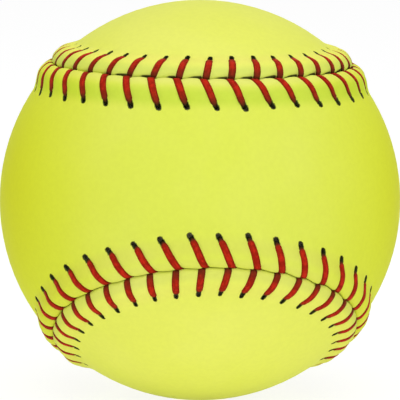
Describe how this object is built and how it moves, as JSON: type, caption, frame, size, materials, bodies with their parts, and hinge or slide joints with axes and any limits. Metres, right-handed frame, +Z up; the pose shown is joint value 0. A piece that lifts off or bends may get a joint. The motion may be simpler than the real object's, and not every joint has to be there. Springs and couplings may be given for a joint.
{
  "type": "softball",
  "caption": "Round bat-and-ball game ball: foam core under two figure-eight leather panels, sewn edge to edge with red thread along a raised seam.",
  "frame": {"origin": "centre of the ball", "axes": "+Z up, the front panel's neck faces -Y and is tipped up by 15 degrees, +X to the right of the front view"},
  "size_m": [0.097, 0.0996, 0.097],
  "materials": {
    "foam": "moulded polyurethane foam, matt",
    "cement": "dried latex cement, dull",
    "cover_leather": "dyed and sealed, fine grain, soft sheen",
    "cord": "plain cotton cord",
    "thread": "waxed thread, pulled flat"
  },
  "bodies": {
    "root": {"core": "foam", "cement_film_front": "cement", "cement_film_back": "cement", "cover_panel_front": "cover_leather", "cover_panel_back": "cover_leather", "seam_cord_front": "cord", "seam_cord_back": "cord", "stitch_thread_first": "thread", "stitch_thread_second": "thread"}
  },
  "joints": []
}
